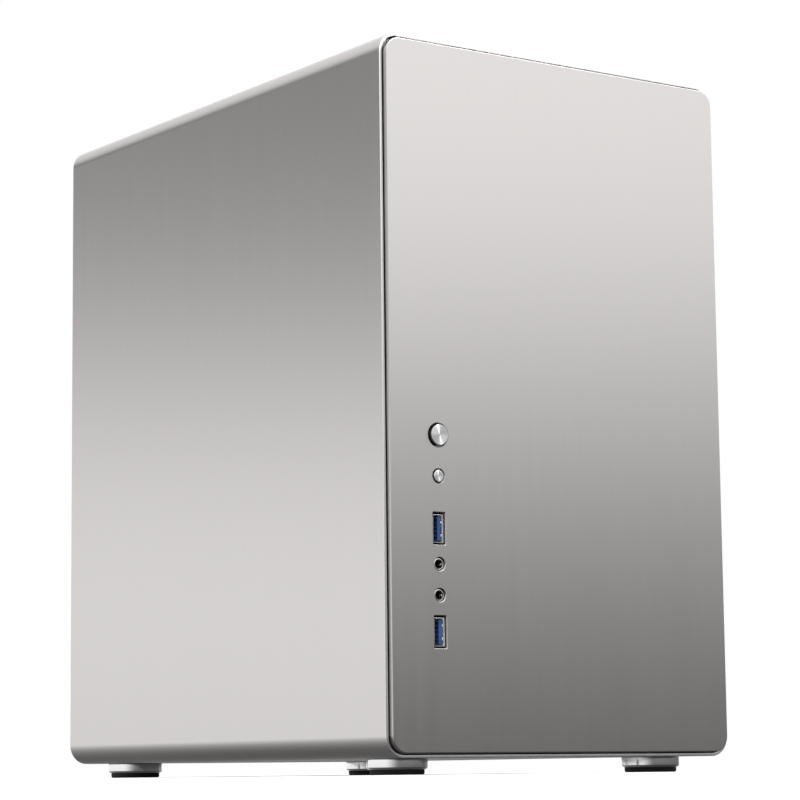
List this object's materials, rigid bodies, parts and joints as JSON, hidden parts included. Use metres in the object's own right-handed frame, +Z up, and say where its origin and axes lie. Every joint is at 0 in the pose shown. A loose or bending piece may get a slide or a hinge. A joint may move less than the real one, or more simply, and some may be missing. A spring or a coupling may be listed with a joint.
{
  "type": "desktop computer tower",
  "caption": "Compact desktop computer tower: brushed aluminium wrap shell on round feet, with a sliding side panel, a pull-off front plate and the computer inside",
  "frame": {"origin": "on the floor, under the middle of the tower's box", "axes": "+Z up, the front plate faces -Y, +X is the side with the removable panel"},
  "size_m": [0.206, 0.3094, 0.3455],
  "materials": {
    "anodised_aluminium": "clear anodised, vertically brushed",
    "polished_metal": "polished and turned",
    "mill_aluminium": "plain rolled sheet",
    "zinc_steel": "bright zinc-plated pressed steel",
    "nickel_shell": "nickel-plated socket shell",
    "black_plastic": "moulded, fine texture",
    "grey_plastic": "moulded",
    "blue_plastic": "moulded socket insert",
    "black_rubber": "moulded, matt",
    "circuit_board": "solder-masked glass-epoxy laminate",
    "black_paint": "black powder coat",
    "cable_sleeve": "black sheath"
  },
  "bodies": {
    "chassis": {"shell": "anodised_aluminium", "panel_rail_upper": "mill_aluminium", "panel_rail_lower": "mill_aluminium", "front_frame": "mill_aluminium", "rear_frame": "mill_aluminium", "motherboard_tray": "mill_aluminium", "power_switch": "black_plastic", "reset_switch": "black_plastic", "socket_bracket": "zinc_steel", "socket_board": "circuit_board", "usb_shell_upper": "nickel_shell", "usb_shell_lower": "nickel_shell", "usb_tongue_upper": "blue_plastic", "usb_tongue_lower": "blue_plastic", "headphone_jack": "black_plastic", "microphone_jack": "black_plastic", "motherboard": "circuit_board", "memory_module_1": "circuit_board", "memory_module_2": "circuit_board", "processor_socket": "zinc_steel", "chipset_heatsink": "black_paint", "rear_sockets": "zinc_steel", "socket_shield": "zinc_steel", "rear_fan_frame": "black_plastic", "rear_fan_guard": "black_paint", "cooler_heatsink": "mill_aluminium", "cooler_fan_frame": "black_plastic", "psu_housing": "black_paint", "psu_fan_guard": "zinc_steel", "psu_fan_frame": "black_plastic", "mains_inlet": "black_plastic", "mains_switch_bezel": "black_plastic", "psu_bracket": "mill_aluminium", "drive_bracket": "zinc_steel", "hard_drive": "mill_aluminium", "solid_state_drive": "black_paint", "main_power_cable": "cable_sleeve", "front_socket_cable": "cable_sleeve", "slot_cover_1": "mill_aluminium", "slot_cover_2": "mill_aluminium", "slot_cover_3": "mill_aluminium", "slot_cover_4": "mill_aluminium", "foot_ring_front_left": "polished_metal", "foot_pad_front_left": "black_rubber", "foot_ring_front_right": "polished_metal", "foot_pad_front_right": "black_rubber", "foot_ring_rear_left": "polished_metal", "foot_pad_rear_left": "black_rubber", "foot_ring_rear_right": "polished_metal", "foot_pad_rear_right": "black_rubber"},
    "side_panel": {"side_panel": "anodised_aluminium"},
    "thumbscrew_upper": {"thumbscrew_upper": "anodised_aluminium"},
    "thumbscrew_lower": {"thumbscrew_lower": "anodised_aluminium"},
    "front_panel": {"front_panel": "anodised_aluminium"},
    "power_button": {"power_button": "anodised_aluminium"},
    "reset_button": {"reset_button": "anodised_aluminium"},
    "rear_fan": {"rear_fan_rotor": "black_plastic"},
    "cooler_fan": {"cooler_fan_rotor": "black_plastic"},
    "psu_fan": {"psu_fan_rotor": "black_plastic"},
    "mains_switch": {"mains_switch_rocker": "grey_plastic"}
  },
  "joints": [
    {"name": "power_press", "type": "slide", "parent": "chassis", "child": "power_button", "axis": [0, 1, 0], "range_m": [0, 0.0012], "stiffness_N_per_m": 1500},
    {"name": "reset_press", "type": "slide", "parent": "chassis", "child": "reset_button", "axis": [0, 1, 0], "range_m": [0, 0.001], "stiffness_N_per_m": 1500},
    {"name": "side_panel_slide", "type": "slide", "parent": "chassis", "child": "side_panel", "axis": [0, 1, 0], "range_m": [0, 0.31]},
    {"name": "thumbscrew_upper_turn", "type": "hinge", "parent": "side_panel", "child": "thumbscrew_upper", "pos_m": [0.0919, 0.1472, 0.2775], "axis": [0, 1, 0], "continuous": true},
    {"name": "thumbscrew_lower_turn", "type": "hinge", "parent": "side_panel", "child": "thumbscrew_lower", "pos_m": [0.0919, 0.1472, 0.0755], "axis": [0, 1, 0], "continuous": true},
    {"name": "front_panel_pull", "type": "slide", "parent": "chassis", "child": "front_panel", "axis": [0, -1, 0], "range_m": [0, 0.04]},
    {"name": "rear_fan_spin", "type": "hinge", "parent": "chassis", "child": "rear_fan", "pos_m": [0.0234, 0.1292, 0.092], "axis": [0, 1, 0], "continuous": true},
    {"name": "cooler_fan_spin", "type": "hinge", "parent": "chassis", "child": "cooler_fan", "pos_m": [0.01165, -0.0008, 0.092], "axis": [0, 1, 0], "continuous": true},
    {"name": "psu_fan_spin", "type": "hinge", "parent": "chassis", "child": "psu_fan", "pos_m": [-0.015, 0.0732, 0.2675], "axis": [0, 0, 1], "continuous": true},
    {"name": "mains_switch_rock", "type": "hinge", "parent": "chassis", "child": "mains_switch", "pos_m": [-0.03, 0.1417, 0.311], "axis": [-1, 0, 0], "range_deg": [0, 20]}
  ]
}
